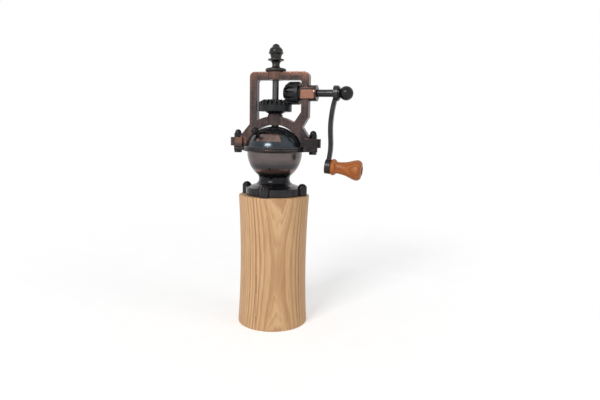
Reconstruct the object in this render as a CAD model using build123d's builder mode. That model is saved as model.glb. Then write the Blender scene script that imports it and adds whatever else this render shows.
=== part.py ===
"""Hand cranked poppy seed mill, in millimetres.

+Z is up the mill's axis and the origin is the centre of the wooden body's base. The crank shaft lies
along +X, and the filling window faces -Y. Seeds go in at the window, fall through the bowl and the body,
and leave between the burrs in the base. The crank turns the spindle through a pair of bevel gears.
"""

import os
from math import acos, asin, atan2, cos, degrees, pi, radians, sin, sqrt, tan

from build123d import *

os.makedirs("parts", exist_ok=True)

# Clearances
running_gap = 0.05  # radial, between a shaft and the bore it turns in
face_gap = 0.05  # between two faces that turn on each other
seat_gap = 0.03  # radial, between fixed pieces that drop into each other
door_gap = 0.3  # between the door's panel and the dome it slides in

# Wooden body
body_height = 118.0
body_end_radius = 31.8
body_waist_radius = 29.95
body_edge_round = 0.7
seed_bore_radius = 13.5
recess_radius = 21.0
recess_depth = 15.0

# Flange, neck and bowl
plate_inset = 6.3
plate_thickness = 6.9
plate_edge_round = 0.7
plate_slope = 2.2
lug_inset = 5.4
lug_radius = 4.15
lug_rise = 1.0
lug_edge_round = 0.25
flare_radius = 18.8
neck_radius = 13.9
neck_rise = 7.6
throat_radius = 10.8
bowl_radius = 24.5
bowl_depth = 25.5
bowl_rise = 23.5
bowl_wall = 2.2
bowl_lip = 0.9
rim_radius = 28.0
rim_thickness = 2.6
rim_chamfer = 0.4
spigot_wall = 1.2
spigot_depth = 2.4

# Dome and its window
dome_radius = 25.0
dome_height = 20.7
dome_wall = 1.2
dome_flange_thickness = 2.2
dome_flange_overlap = 3.2
window_low = 7.5
window_high = 15.5
window_left = 35.0
window_right = 33.0

# Door, which turns about the mill's axis inside the dome
door_wall = 0.9
door_overlap = 2.0
door_eye_radius = 6.6
door_knob_azimuth = 30.0
door_stem_radius = 1.2
door_ball_radius = 3.4
door_ball_rise = 6.6
door_knob_tilt = 50.0
door_stem_start = 11.2

# Screws, bolts and nuts
flange_screw_radius = 1.5
flange_screw_length = 14.0
flange_head_radius = 3.9
flange_head_height = 3.0
slot_width = 0.8
slot_depth = 1.2
bolt_radius = 1.75
bolt_hole_gap = 0.1
bolt_head_width = 6.1
bolt_head_height = 2.2
acorn_width = 6.2
acorn_hex_height = 3.6
acorn_dome_radius = 2.9
acorn_dome_rise = 0.6
housing_screw_radius = 1.2
housing_screw_reach = 18.0
housing_screw_length = 8.0
housing_head_radius = 2.3
housing_head_height = 1.8

# Frame
frame_half_depth = 4.0
frame_edge_round = 0.6
ear_reach = 35.3
ear_radius = 6.9
bowl_ear_radius = 4.0
ear_thickness = 7.7
bowl_ear_lift = 0.3
ear_drop = 0.6
arch_inner_radius = 27.05
arch_outer_radius = 34.5
arch_gap = 1.35
hub_boss_radius = 6.8
hub_boss_height = 9.0
hub_boss_drop = 0.55
bar_width = 6.6
top_bar_thickness = 7.2
top_rise = 18.3
frame_corner_radius = 4.5
window_corner_radius = 2.0
left_bar_gap = 1.8
top_boss_radius = 6.9
crank_boss_radius = 6.9
crank_boss_half_flat = 5.0
crank_boss_inner_step = 1.1
crank_boss_outer_step = 6.8
crank_boss_collar = 2.0
leg_width = 6.0
leg_shoulder_rise = 1.3
waist_rise = 8.9
waist_inset = 5.2
left_slant_rise = 1.7
right_slant_rise = 8.6
slope_foot_reach = 18.4
slope_rise = 9.1

# Bushes and washers
bush_wall = 1.6
hub_nose_radius = 3.3
bush_flange_thickness = 0.9
bush_flange_radius = 6.2
top_bush_stand = 0.15
washer_thickness = 1.0
washer_radius = 6.1
clip_thickness = 0.7
clip_width = 1.6

# Bevel gears
gear_teeth = 22
pinion_teeth = 14
gear_module = 1.25
pressure_angle = 20.0
addendum_share = 0.9
dedendum_share = 1.2
tooth_thinning = 0.16
face_width = 4.6
gear_rim_radius = 14.6
gear_rim_depth = 7.25
gear_hub_rise = 1.95
gear_underside_radius = 9.4
gear_top_hub_radius = 5.5
gear_top_hub_rise = 1.6
pinion_body_length = 8.75
pinion_rim_radius = 9.85
pinion_nose_radius = 4.6
pinion_nose_length = 2.2
set_screw_radius = 1.2
set_screw_sink = 0.6
set_screw_setback = 1.6

# Spindle
spindle_radius = 2.4
spindle_top_radius = 2.85
spindle_flat_depth = 0.5
spindle_foot = 1.0
spindle_thread_length = 11.6
spindle_lift = 1.2

# Crank
journal_radius = 2.6
shaft_radius = 3.15
shaft_free_length = 14.8
tenon_flat_depth = 0.4
shaft_thread_radius = 2.4
shaft_thread_length = 6.2
arm_hub_radius = 6.6
arm_hub_thickness = 3.9
arm_thickness = 3.8
arm_half_width = 2.8
arm_edge_round = 0.9
arm_reach = 62.7
arm_sweep = ((0.056, 0.4), (0.16, 2.2), (0.292, 3.5), (0.43, 4.2), (0.582, 3.9), (0.75, 3.6))
arm_boss_radius = 6.5
arm_boss_thickness = 4.6
arm_boss_inset = 5.35
knob_cant = 5.5
nut_flange_radius = 5.4
nut_flange_thickness = 1.1
nut_flange_bevel = 0.3
nut_neck_radius = 3.6
nut_ball_radius = 6.1
nut_ball_reach = 6.6
knob_pin_radius = 2.2
knob_pin_head_radius = 3.4
knob_pin_head_height = 1.8
knob_length = 27.5
knob_gap = 0.2
knob_bead_radius = 7.2
knob_bead_width = 4.6
knob_waist_radius = 5.2
knob_waist_reach = 8.0
knob_swell = 1.3
knob_swell_reach = 15.0
knob_bulb_radius = 8.7
knob_bulb_setback = 6.0
knob_end_radius = 7.0
knob_end_slope = 0.8

# Finial
finial_disc_radius = 9.2
finial_disc_thickness = 2.8
finial_neck_radius = 3.3
finial_plate_radius = 7.15
finial_ring_radius = 6.5
finial_cap_radius = 6.0
finial_button_radius = 3.4

# Grinder
burr_foot_radius = 9.2
burr_slope = 0.44
burr_height = 5.8
burr_gap = 0.77
burr_flutes = 9
flute_depth = 1.1
outer_burr_radius = 13.0
outer_burr_height = 8.0
outer_flutes = 18
housing_wall = 2.2
housing_flange_thickness = 2.6
housing_drop = 12.4
bridge_ring_width = 1.8
bridge_thickness = 2.5
bridge_hub_radius = 4.8
bridge_hub_height = 4.0
bridge_arm_width = 4.0
burr_nut_width = 8.0
burr_nut_height = 3.0
spring_radius = 3.6
spring_wire_radius = 0.35
spring_turns = 3

# Heights up the mill, each worked out from the piece below it
plate_top = body_height + plate_thickness
plate_radius = body_end_radius - plate_inset
lug_reach = body_end_radius - lug_inset
neck_z = plate_top + neck_rise
bowl_centre_z = neck_z + bowl_rise
rim_bottom = bowl_centre_z + bowl_lip
rim_top = rim_bottom + rim_thickness
dome_flange_top = rim_top + dome_flange_thickness
dome_centre_z = dome_flange_top - dome_flange_overlap
dome_top = dome_centre_z + dome_height
arch_centre_z = dome_top + arch_gap - arch_inner_radius
hub_boss_bottom = dome_top + arch_gap - hub_boss_drop
hub_boss_top = hub_boss_bottom + hub_boss_height
washer_top = hub_boss_top + washer_thickness
gear_bottom = washer_top + face_gap
gear_rim_bottom = gear_bottom + gear_hub_rise
gear_pitch_radius = gear_module * gear_teeth / 2
pinion_pitch_radius = gear_module * pinion_teeth / 2
crank_z = gear_rim_bottom + gear_rim_depth + pinion_pitch_radius
frame_top = crank_z + top_rise
top_boss_bottom = frame_top - top_bar_thickness
finial_bottom = frame_top + top_bush_stand + face_gap
ear_bottom = dome_flange_top - ear_drop
ear_top = ear_bottom + ear_thickness
bolt_seat = rim_bottom + bowl_ear_lift

# Reaches along the crank, each worked out from the one before
pinion_back = gear_pitch_radius + pinion_body_length
crank_boss_inner = pinion_back + face_gap + bush_flange_thickness
right_bar_inner = crank_boss_inner + crank_boss_inner_step
right_bar_outer = right_bar_inner + bar_width
crank_boss_outer = right_bar_outer + crank_boss_outer_step
shaft_shoulder = crank_boss_outer + face_gap
arm_inner = shaft_shoulder + shaft_free_length
arm_outer = arm_inner + arm_hub_thickness
left_bar_inner = -(gear_rim_radius + left_bar_gap)
left_bar_outer = left_bar_inner - bar_width

# Bores that more than one piece shares
bolt_hole_radius = bolt_radius + bolt_hole_gap
hub_bush_radius = spindle_radius + running_gap + bush_wall
top_bush_radius = spindle_top_radius + running_gap + bush_wall
crank_bush_radius = journal_radius + running_gap + bush_wall
flange_shank_radius = flange_screw_radius - seat_gap

mill_axis = Axis((0, 0, 0), (0, 0, 1))
crank_axis = Axis((0, 0, crank_z), (1, 0, 0))
crank_plane = Plane(origin=(0, 0, crank_z), x_dir=(1, 0, 0), z_dir=(0, -1, 0))


def radial_plane(azimuth):
    """Upright plane through the mill's axis; its x runs out at an azimuth in degrees from +X."""
    across = Vector(cos(radians(azimuth)), sin(radians(azimuth)), 0)
    return Plane(origin=(0, 0, 0), x_dir=across, z_dir=across.cross(Vector(0, 0, 1)))


def height_on(radius, rise, reach):
    """Height over its centre at which an ellipse of this radius and rise has this reach."""
    return rise * sqrt(1 - (reach / radius) ** 2)


def reach_at(radius, rise, height):
    """Reach of the same ellipse at a height over its centre."""
    return radius * sqrt(1 - (height / rise) ** 2)


def bowl_curve(radius, rise, depth):
    """Curve on an ellipse about the bowl's centre, from a depth below the centre up to its level."""
    start = asin(depth / rise)
    turns = [start * (1 - i / 4) for i in range(5)]
    return Spline(
        [(radius * cos(turn), bowl_centre_z - rise * sin(turn)) for turn in turns],
        tangents=[(radius * sin(start), rise * cos(start)), (0, 1)],
    )


def crown(middle, reach, base, top):
    """Arc of a sphere's cap in an upright plane, from its edge to its top over the middle."""
    radius = (reach**2 + (top - base) ** 2) / (2 * (top - base))
    half = atan2(reach, radius - top + base) / 2
    shoulder = (middle + radius * sin(half), top - radius + radius * cos(half))
    return ThreePointArc((middle + reach, base), shoulder, (middle, top))


def dome_arc(radius, rise, low, top_reach):
    """Arc of an ellipse about the dome's centre, from a height over it up to a reach near the top."""
    start = degrees(asin(low / rise))
    end = degrees(acos(top_reach / radius))
    return EllipticalCenterArc((0, dome_centre_z), radius, rise, start, arc_size=end - start)


def slot_across(head_radius, top, spots):
    """Straight screwdriver slots in domed heads that stand at these spots."""
    with BuildPart() as slots:
        with BuildSketch(Plane.XY.offset(top)):
            for x, y, turn in spots:
                with Locations(Location((x, y, 0), (0, 0, turn))):
                    Rectangle(2.2 * head_radius, slot_width)
        extrude(amount=-slot_depth)
    return slots.part


# The wooden body: one waisted arc outside, the seeds' bore, and the burrs' recess in the base.
with BuildPart() as wood_body:
    with BuildSketch(Plane.XZ) as body_half:
        with BuildLine():
            side = ThreePointArc(
                (body_end_radius, 0),
                (body_waist_radius, body_height / 2),
                (body_end_radius, body_height),
            )
            Polyline(
                side @ 1,
                (seed_bore_radius, body_height),
                (seed_bore_radius, recess_depth),
                (recess_radius, recess_depth),
                (recess_radius, 0),
                side @ 0,
            )
        make_face()
        fillet(body_half.vertices().group_by(Axis.X)[-1], body_edge_round)
    revolve(axis=mill_axis)
    with BuildSketch(Plane.XY.offset(body_height)):
        with PolarLocations(lug_reach, 4):
            Circle(flange_screw_radius)
    extrude(amount=-flange_screw_length, mode=Mode.SUBTRACT)
    with BuildSketch(Plane.XY.offset(recess_depth)):
        with PolarLocations(housing_screw_reach, 3, start_angle=30):
            Circle(housing_screw_radius + seat_gap)
    extrude(amount=housing_screw_length, mode=Mode.SUBTRACT)

wood_body.part.label = "wood_body"
export_step(wood_body.part, "parts/wood_body.step")


# The bowl casting: sloping round flange with four lugs, neck, bowl, rim and two ears.
# The dome's spigot drops into its rim.
spigot_radius = reach_at(bowl_radius, bowl_depth, 0) - spigot_wall / 2
bowl_start = 0.78 * bowl_depth
bowl_floor = height_on(bowl_radius - bowl_wall, bowl_depth - bowl_wall, throat_radius)
with BuildPart() as hopper_bowl:
    with BuildSketch(Plane.XY.offset(body_height)):
        with PolarLocations(lug_reach, 4):
            Circle(lug_radius)
    extrude(amount=plate_thickness + lug_rise)
    fillet(hopper_bowl.edges().group_by(Axis.Z)[-1], lug_edge_round)
    with BuildSketch(Plane.XY.offset(bolt_seat)):
        Rectangle(2 * ear_reach, 2 * bowl_ear_radius)
        with Locations((ear_reach, 0), (-ear_reach, 0)):
            Circle(bowl_ear_radius)
        Circle(bowl_radius, mode=Mode.SUBTRACT)
    extrude(amount=ear_bottom - bolt_seat)
    with BuildSketch(Plane.XY.offset(rim_top)):
        Circle(rim_radius + running_gap)
    extrude(amount=dome_flange_thickness, mode=Mode.SUBTRACT)
    with BuildSketch(Plane.XZ):
        with BuildLine():
            foot = Polyline(
                (throat_radius, body_height),
                (plate_radius, body_height),
                (plate_radius, plate_top - plate_edge_round),
            )
            corner = ThreePointArc(
                foot @ 1,
                (plate_radius - 0.3 * plate_edge_round, plate_top - 0.3 * plate_edge_round),
                (plate_radius - plate_edge_round, plate_top),
            )
            slope = Line(corner @ 1, (flare_radius, plate_top + plate_slope))
            shell = bowl_curve(bowl_radius, bowl_depth, bowl_start)
            ThreePointArc(slope @ 1, (neck_radius, neck_z), shell @ 0)
            lip = ThreePointArc(
                shell @ 1,
                (bowl_radius + 0.3, rim_bottom - 0.3),
                (bowl_radius + 1.2, rim_bottom),
            )
            rim = Polyline(
                lip @ 1,
                (rim_radius - rim_chamfer, rim_bottom),
                (rim_radius, rim_bottom + rim_chamfer),
                (rim_radius, rim_top - rim_chamfer),
                (rim_radius - rim_chamfer, rim_top),
                (spigot_radius + seat_gap, rim_top),
                (spigot_radius + seat_gap, rim_top - spigot_depth),
                (bowl_radius - bowl_wall, rim_top - spigot_depth),
                (bowl_radius - bowl_wall, bowl_centre_z),
            )
            inside = bowl_curve(bowl_radius - bowl_wall, bowl_depth - bowl_wall, bowl_floor)
            Line(inside @ 0, foot @ 0)
        make_face()
    revolve(axis=mill_axis)
    with BuildSketch(Plane.XY.offset(body_height)):
        Circle(throat_radius)
    extrude(amount=plate_thickness, mode=Mode.SUBTRACT)
    with BuildSketch(Plane.XY.offset(body_height)):
        with PolarLocations(lug_reach, 4):
            Circle(flange_screw_radius)
    extrude(amount=plate_thickness + lug_rise, mode=Mode.SUBTRACT)
    with BuildSketch(Plane.XY.offset(bolt_seat)):
        with Locations((ear_reach, 0), (-ear_reach, 0)):
            Circle(bolt_hole_radius)
    extrude(amount=ear_bottom - bolt_seat, mode=Mode.SUBTRACT)

hopper_bowl.part.label = "hopper_bowl"
export_step(hopper_bowl.part, "parts/hopper_bowl.step")


# Four domed, slotted screws through the lugs into the wood.
screw_head_base = plate_top + lug_rise
screw_head_top = screw_head_base + flange_head_height
screw_spots = [
    (lug_reach * cos(radians(a)), lug_reach * sin(radians(a)), turn)
    for a, turn in ((0, 20), (90, 75), (180, -35), (270, -12))
]
screw_slots = slot_across(flange_head_radius, screw_head_top, screw_spots)
with BuildPart() as flange_screws:
    for azimuth in (0, 90, 180, 270):
        post = Axis(
            (lug_reach * cos(radians(azimuth)), lug_reach * sin(radians(azimuth)), 0),
            (0, 0, 1),
        )
        with BuildSketch(radial_plane(azimuth)):
            with BuildLine():
                shank = Polyline(
                    (lug_reach, body_height - flange_screw_length + 1),
                    (lug_reach + flange_shank_radius, body_height - flange_screw_length + 3),
                    (lug_reach + flange_shank_radius, screw_head_base),
                    (lug_reach + flange_head_radius, screw_head_base),
                    (lug_reach + flange_head_radius, screw_head_base + 0.5),
                )
                dome = crown(lug_reach, flange_head_radius, screw_head_base + 0.5, screw_head_top)
                Line(dome @ 1, shank @ 0)
            make_face()
        revolve(axis=post)
    add(screw_slots, mode=Mode.SUBTRACT)

flange_screws.part.label = "flange_screws"
export_step(flange_screws.part, "parts/flange_screws.step")


# The dome: thin shell with a flange, a spigot, a hole for the hub bush's nose, and the filling window.
nose_hole_radius = hub_nose_radius + 2 * seat_gap
inner_dome_radius = dome_radius - dome_wall
inner_dome_height = dome_height - dome_wall
spigot_inner_radius = spigot_radius - spigot_wall
with BuildPart() as hopper_dome:
    with BuildSketch(Plane.XZ):
        with BuildLine():
            shell = dome_arc(dome_radius, dome_height, dome_flange_overlap, nose_hole_radius)
            inside = dome_arc(inner_dome_radius, inner_dome_height, 2.0, nose_hole_radius)
            Line(shell @ 1, inside @ 1)
            Polyline(
                inside @ 0,
                (spigot_inner_radius, rim_top + 0.3),
                (spigot_inner_radius, rim_top - spigot_depth + face_gap),
                (spigot_radius, rim_top - spigot_depth + face_gap),
                (spigot_radius, rim_top),
                (rim_radius - rim_chamfer, rim_top),
                (rim_radius, rim_top + rim_chamfer),
                (rim_radius, dome_flange_top - rim_chamfer),
                (rim_radius - rim_chamfer, dome_flange_top),
                shell @ 0,
            )
        make_face()
    revolve(axis=mill_axis)
    with BuildSketch(radial_plane(-90 - window_left)):
        with BuildLine():
            Polyline(
                (dome_radius / 3, dome_centre_z + window_low),
                (dome_radius + 2, dome_centre_z + window_low),
                (dome_radius + 2, dome_centre_z + window_high),
                (dome_radius / 3, dome_centre_z + window_high),
                close=True,
            )
        make_face()
    revolve(axis=mill_axis, revolution_arc=window_left + window_right, mode=Mode.SUBTRACT)

hopper_dome.part.label = "hopper_dome"
export_step(hopper_dome.part, "parts/hopper_dome.step")


# The filling door: a panel just inside the dome, hung by an eye from the hub bush's nose.
door_radius = inner_dome_radius - door_gap
door_height = inner_dome_height - door_gap
door_eye_top = dome_centre_z + height_on(door_radius, door_height, door_eye_radius)
door_eye_bottom = door_eye_top - door_wall
knob_direction = Vector(
    -cos(radians(door_knob_tilt)) * sin(radians(door_knob_azimuth)),
    -cos(radians(door_knob_tilt)) * cos(radians(door_knob_azimuth)),
    sin(radians(door_knob_tilt)),
)
knob_foot_reach = reach_at(door_radius, door_height, door_stem_start)
knob_foot = Vector(
    -knob_foot_reach * sin(radians(door_knob_azimuth)),
    -knob_foot_reach * cos(radians(door_knob_azimuth)),
    dome_centre_z + door_stem_start,
)
knob_across = Vector(cos(radians(door_knob_azimuth)), -sin(radians(door_knob_azimuth)), 0)
with BuildPart() as filling_door:
    with BuildSketch(radial_plane(-90 - window_left - door_overlap)):
        with BuildLine():
            outside = dome_arc(door_radius, door_height, window_low - door_overlap, door_eye_radius - 1)
            inside = dome_arc(
                door_radius - door_wall,
                door_height - door_wall,
                window_low - door_overlap,
                door_eye_radius - 1,
            )
            Line(outside @ 0, inside @ 0)
            Line(outside @ 1, inside @ 1)
        make_face()
    revolve(axis=mill_axis, revolution_arc=window_left + window_right + 2 * door_overlap)
    with BuildSketch(Plane.XY.offset(door_eye_bottom)):
        Circle(door_eye_radius)
    extrude(amount=door_wall)
    with BuildSketch(Plane.XY.offset(door_eye_bottom - door_wall)):
        Circle(hub_nose_radius + running_gap)
    extrude(amount=3 * door_wall, mode=Mode.SUBTRACT)
    with BuildSketch(Plane(origin=knob_foot, x_dir=knob_across, z_dir=knob_direction)):
        Circle(door_stem_radius + seat_gap)
    extrude(amount=3 * door_wall, both=True, mode=Mode.SUBTRACT)

filling_door.part.label = "filling_door"
export_step(filling_door.part, "parts/filling_door.step")


# The door's knob: a ball on a stem that passes through the window and is riveted in the panel.
knob_section = Plane(
    origin=knob_foot,
    x_dir=knob_across,
    z_dir=knob_across.cross(knob_direction),
)
ball_seat = height_on(door_ball_radius, door_ball_radius, door_stem_radius)
with BuildPart() as door_knob:
    with BuildSketch(knob_section):
        with BuildLine():
            stem = Polyline(
                (0, -1.5 * door_wall),
                (door_stem_radius, -1.5 * door_wall),
                (door_stem_radius, door_ball_rise - ball_seat),
            )
            ball = ThreePointArc(
                stem @ 1,
                (door_ball_radius, door_ball_rise),
                (0, door_ball_rise + door_ball_radius),
            )
            Line(ball @ 1, stem @ 0)
        make_face()
    revolve(axis=Axis(knob_foot, knob_direction))

door_knob.part.label = "door_knob"
export_step(door_knob.part, "parts/door_knob.step")


# The frame: an upright plate with an arched foot over the dome, two ears, and three bushes' bosses.
arch_foot_reach = reach_at(arch_inner_radius, arch_inner_radius, ear_bottom - arch_centre_z)
leg_outer = arch_foot_reach + leg_width
left_window_foot = arch_centre_z + height_on(arch_outer_radius, arch_outer_radius, left_bar_inner)
right_window_foot = arch_centre_z + height_on(arch_outer_radius, arch_outer_radius, slope_foot_reach)
shoulder_z = ear_top + leg_shoulder_rise
waist_z = shoulder_z + waist_rise
with BuildPart() as frame_bracket:
    with BuildSketch(Plane.XZ) as frame_face:
        with BuildLine():
            outline = Polyline(
                (arch_foot_reach, ear_bottom),
                (leg_outer, ear_bottom),
                (leg_outer, shoulder_z),
                (right_bar_outer - waist_inset, waist_z),
                (right_bar_outer, waist_z + right_slant_rise),
                (right_bar_outer, frame_top),
                (left_bar_outer, frame_top),
                (left_bar_outer, waist_z + left_slant_rise),
                (-leg_outer, shoulder_z),
                (-leg_outer, ear_bottom),
                (-arch_foot_reach, ear_bottom),
            )
            ThreePointArc(outline @ 1, (0, arch_centre_z + arch_inner_radius), outline @ 0)
        make_face()
        fillet(frame_face.vertices().group_by(Axis.Y)[-1], frame_corner_radius)
    extrude(amount=frame_half_depth, both=True)
    with BuildSketch(Plane.XZ) as frame_window:
        with BuildLine():
            window = Polyline(
                (slope_foot_reach, right_window_foot),
                (right_bar_inner, right_window_foot + slope_rise),
                (right_bar_inner, top_boss_bottom),
                (left_bar_inner, top_boss_bottom),
                (left_bar_inner, left_window_foot),
            )
            ThreePointArc(window @ 1, (0, arch_centre_z + arch_outer_radius), window @ 0)
        make_face()
        fillet(frame_window.vertices(), window_corner_radius)
    extrude(amount=2 * frame_half_depth, both=True, mode=Mode.SUBTRACT)
    window_rims = [face.inner_wires()[0] for face in frame_bracket.faces().filter_by(Axis.Y)]
    fillet([edge for rim in window_rims for edge in rim.edges()], frame_edge_round)
    outer_rims = [face.outer_wire() for face in frame_bracket.faces().filter_by(Axis.Y)]
    fillet([edge for rim in outer_rims for edge in rim.edges()], frame_edge_round)
    with BuildSketch(Plane.XY.offset(ear_bottom)):
        with Locations((ear_reach, 0), (-ear_reach, 0)):
            Circle(ear_radius)
        Rectangle(2 * ear_reach, 2 * ear_radius)
        Rectangle(2 * leg_outer - leg_width, 4 * ear_radius, mode=Mode.SUBTRACT)
    extrude(amount=ear_thickness)
    with BuildSketch(Plane.XY.offset(hub_boss_bottom)):
        Circle(hub_boss_radius)
    extrude(amount=hub_boss_height)
    with BuildSketch(Plane.XY.offset(top_boss_bottom)):
        Circle(top_boss_radius)
    extrude(amount=top_bar_thickness)
    with BuildSketch(Plane.YZ.offset(crank_boss_inner)):
        with Locations((0, crank_z)):
            Circle(crank_boss_radius)
            Rectangle(2 * crank_boss_half_flat, 3 * crank_boss_radius, mode=Mode.INTERSECT)
    extrude(amount=crank_boss_outer - crank_boss_inner)
    with BuildSketch(Plane.YZ.offset(crank_boss_outer - crank_boss_collar)):
        with Locations((0, crank_z)):
            Circle(crank_boss_radius)
    extrude(amount=crank_boss_collar)
    with BuildSketch(Plane.XY.offset(rim_top - 1)):
        Circle(rim_radius + running_gap)
    extrude(amount=dome_flange_thickness + 1, mode=Mode.SUBTRACT)
    with BuildSketch(Plane.XY.offset(dome_top)):
        Circle(hub_bush_radius + seat_gap)
    extrude(amount=2 * hub_boss_height, mode=Mode.SUBTRACT)
    with BuildSketch(Plane.XY.offset(top_boss_bottom)):
        Circle(top_bush_radius + seat_gap)
    extrude(amount=top_bar_thickness, mode=Mode.SUBTRACT)
    with BuildSketch(Plane.YZ.offset(crank_boss_inner)):
        with Locations((0, crank_z)):
            Circle(crank_bush_radius + seat_gap)
    extrude(amount=crank_boss_outer - crank_boss_inner, mode=Mode.SUBTRACT)
    with BuildSketch(Plane.XY.offset(ear_bottom)):
        with Locations((ear_reach, 0), (-ear_reach, 0)):
            Circle(bolt_hole_radius)
    extrude(amount=ear_thickness, mode=Mode.SUBTRACT)

frame_bracket.part.label = "frame_bracket"
export_step(frame_bracket.part, "parts/frame_bracket.step")


# Two hexagon bolts up through both pairs of ears.
bolt_top = ear_top + acorn_hex_height + 0.6
with BuildPart() as clamp_bolts:
    with BuildSketch(Plane.XY.offset(bolt_seat - bolt_head_height)):
        with Locations((ear_reach, 0), (-ear_reach, 0)):
            RegularPolygon(bolt_head_width / 2, 6, major_radius=False, rotation=30)
    extrude(amount=bolt_head_height)
    with BuildSketch(Plane.XY.offset(bolt_seat)):
        with Locations((ear_reach, 0), (-ear_reach, 0)):
            Circle(bolt_radius)
    extrude(amount=bolt_top - bolt_seat)

clamp_bolts.part.label = "clamp_bolts"
export_step(clamp_bolts.part, "parts/clamp_bolts.step")


# Their domed cap nuts.
acorn_shoulder = ear_top + acorn_hex_height
acorn_centre = acorn_shoulder + acorn_dome_rise
with BuildPart() as acorn_nuts:
    with BuildSketch(Plane.XY.offset(ear_top)):
        with Locations((ear_reach, 0), (-ear_reach, 0)):
            RegularPolygon(acorn_width / 2, 6, major_radius=False, rotation=30)
    extrude(amount=acorn_hex_height)
    for side in (1, -1):
        with BuildSketch(Plane.XZ):
            with BuildLine():
                cap = Polyline(
                    (side * ear_reach, acorn_shoulder),
                    (side * ear_reach + acorn_dome_radius, acorn_shoulder),
                    (side * ear_reach + acorn_dome_radius, acorn_centre),
                )
                acorn_top = acorn_centre + acorn_dome_radius
                dome = crown(side * ear_reach, acorn_dome_radius, acorn_centre, acorn_top)
                Line(dome @ 1, cap @ 0)
            make_face()
        revolve(axis=Axis((side * ear_reach, 0, 0), (0, 0, 1)))
    with BuildSketch(Plane.XY.offset(ear_top)):
        with Locations((ear_reach, 0), (-ear_reach, 0)):
            Circle(bolt_radius + seat_gap)
    extrude(amount=bolt_top - ear_top + seat_gap, mode=Mode.SUBTRACT)

acorn_nuts.part.label = "acorn_nuts"
export_step(acorn_nuts.part, "parts/acorn_nuts.step")


# Bush in the hub boss; its nose passes through the dome and carries the door's eye.
nose_bottom = door_eye_bottom - face_gap - clip_thickness
with BuildPart() as hub_bush:
    with BuildSketch(Plane.XZ):
        with BuildLine():
            Polyline(
                (spindle_radius + running_gap, nose_bottom),
                (hub_nose_radius, nose_bottom),
                (hub_nose_radius, hub_boss_bottom),
                (hub_bush_radius, hub_boss_bottom),
                (hub_bush_radius, hub_boss_top),
                (spindle_radius + running_gap, hub_boss_top),
                close=True,
            )
        make_face()
    revolve(axis=mill_axis)

hub_bush.part.label = "hub_bush"
export_step(hub_bush.part, "parts/hub_bush.step")


# Ring on the nose, which keeps the door's eye up.
with BuildPart() as door_clip:
    with BuildSketch(Plane.XY.offset(nose_bottom)):
        Circle(hub_nose_radius + clip_width)
        Circle(hub_nose_radius + seat_gap, mode=Mode.SUBTRACT)
    extrude(amount=clip_thickness)

door_clip.part.label = "door_clip"
export_step(door_clip.part, "parts/door_clip.step")


# Bush in the top boss, standing a little proud to carry the finial.
with BuildPart() as top_bush:
    with BuildSketch(Plane.XY.offset(top_boss_bottom)):
        Circle(top_bush_radius)
        Circle(spindle_top_radius + running_gap, mode=Mode.SUBTRACT)
    extrude(amount=top_bar_thickness + top_bush_stand)

top_bush.part.label = "top_bush"
export_step(top_bush.part, "parts/top_bush.step")


# Flanged bush in the crank boss; the pinion's back runs on its flange.
with BuildPart() as crank_bush:
    with BuildSketch(crank_plane):
        with BuildLine():
            Polyline(
                (crank_boss_inner - bush_flange_thickness, journal_radius + running_gap),
                (crank_boss_inner - bush_flange_thickness, bush_flange_radius),
                (crank_boss_inner, bush_flange_radius),
                (crank_boss_inner, crank_bush_radius),
                (crank_boss_outer, crank_bush_radius),
                (crank_boss_outer, journal_radius + running_gap),
                close=True,
            )
        make_face()
    revolve(axis=crank_axis)

crank_bush.part.label = "crank_bush"
export_step(crank_bush.part, "parts/crank_bush.step")


# Thrust washer between the hub boss and the gear.
with BuildPart() as gear_washer:
    with BuildSketch(Plane.XY.offset(hub_boss_top)):
        Circle(washer_radius)
        Circle(spindle_top_radius + 2 * running_gap, mode=Mode.SUBTRACT)
    extrude(amount=washer_thickness)

gear_washer.part.label = "gear_washer"
export_step(gear_washer.part, "parts/gear_washer.step")


def space_half_angle(radius, pitch_radius, teeth):
    """Half the angle that a tooth space subtends at a radius, with involute flanks."""
    base_radius = pitch_radius * cos(radians(pressure_angle))
    slope = acos(min(1.0, base_radius / radius))
    pitch_slope = radians(pressure_angle)
    tooth_half = (pi / 2 - tooth_thinning / gear_module) / teeth
    tooth_half += (tan(pitch_slope) - pitch_slope) - (tan(slope) - slope)
    return pi / teeth - tooth_half


def bevel_space(axial, radial, teeth, reach, pitch_radius):
    """Wedge that cuts one tooth space: it narrows to the point where the two gears' axes cross.

    axial points from that point along the gear's axis, radial towards the space, and reach and pitch_radius are
    the pitch circle's distance along and from the axis.
    """
    cone_length = sqrt(reach**2 + pitch_radius**2)
    outwards = (axial * reach + radial * pitch_radius) / cone_length
    tipwards = (radial * reach - axial * pitch_radius) / cone_length
    back_radius = pitch_radius * cone_length / reach
    back_teeth = teeth * cone_length / reach
    root = back_radius - dedendum_share * gear_module
    tip = back_radius + addendum_share * gear_module
    mouth = tip + gear_module
    flank = []
    for radius in (root, back_radius, tip, mouth):
        half = space_half_angle(radius, back_radius, back_teeth)
        flank.append((radius * sin(half), radius * cos(half) - back_radius))
    with BuildPart() as wedge:
        for scale in (0.66, 1.4):
            section = Plane(
                origin=Vector(0, 0, crank_z) + outwards * cone_length * scale,
                x_dir=tipwards.cross(outwards),
                z_dir=outwards,
            )
            right = [(x * scale, y * scale) for x, y in flank]
            left = [(-x, y) for x, y in right]
            with BuildSketch(section):
                with BuildLine():
                    ThreePointArc(right[0], right[1], right[2])
                    Polyline(right[2], right[3], left[3], left[2])
                    ThreePointArc(left[2], left[1], left[0])
                    Line(left[0], right[0])
                make_face()
        loft(ruled=True)
    return wedge.part


def cone_point(reach, pitch_radius, rise, scale):
    """Distances along and from a gear's axis of a point this far above the pitch line."""
    cone_length = sqrt(reach**2 + pitch_radius**2)
    along = reach - rise * pitch_radius / cone_length
    across = pitch_radius + rise * reach / cone_length
    return along * scale, across * scale


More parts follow.
